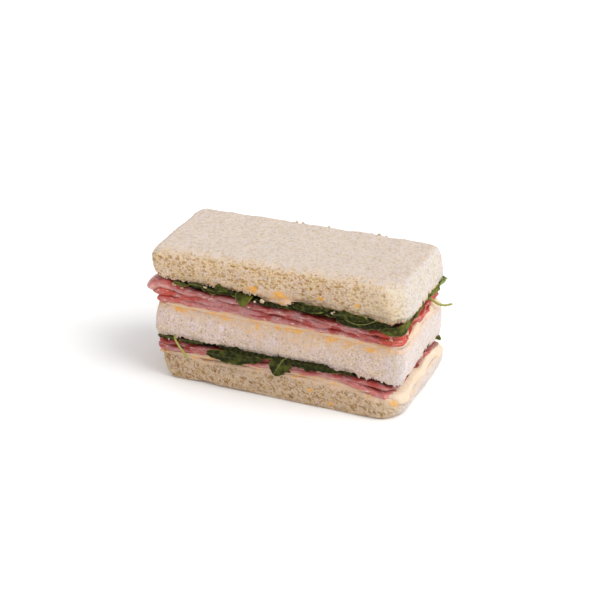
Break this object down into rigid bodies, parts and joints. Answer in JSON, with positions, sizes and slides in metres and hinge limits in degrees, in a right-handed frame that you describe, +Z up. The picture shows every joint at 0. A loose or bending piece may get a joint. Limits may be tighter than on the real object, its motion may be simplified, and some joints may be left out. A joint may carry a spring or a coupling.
{
  "type": "club sandwich",
  "caption": "Oblong half of a crustless layered sandwich: brown and white bread with folded ham, salad leaves and spread between the slices, standing flat, for serving as food.",
  "frame": {"origin": "middle of the flat underside of the bottom slice, at the height of the surface it stands on", "axes": "+X along the long cut face from its left end to its right end, -Y out of the long cut face, +Z up through the layers"},
  "size_m": [0.109, 0.0507, 0.0543],
  "materials": {
    "brown_bread": "soft matte crumb with open pores, smoother and paler on the top face and the ends",
    "white_bread": "soft matte fine crumb",
    "spread": "moist, slightly glossy spread with orange flecks",
    "ham": "moist cured meat with pale fat streaks",
    "greens": "thin salad leaf with a faint waxy sheen"
  },
  "bodies": {
    "root": {"bread_bottom": "brown_bread", "spread_bottom": "spread", "ham_lower_1": "ham", "ham_lower_2": "ham", "greens_lower": "greens", "bread_middle": "white_bread", "spread_middle": "spread", "ham_upper_1": "ham", "ham_upper_2": "ham", "ham_upper_3": "ham", "greens_upper": "greens", "spread_top": "spread", "bread_top": "brown_bread"}
  },
  "joints": []
}
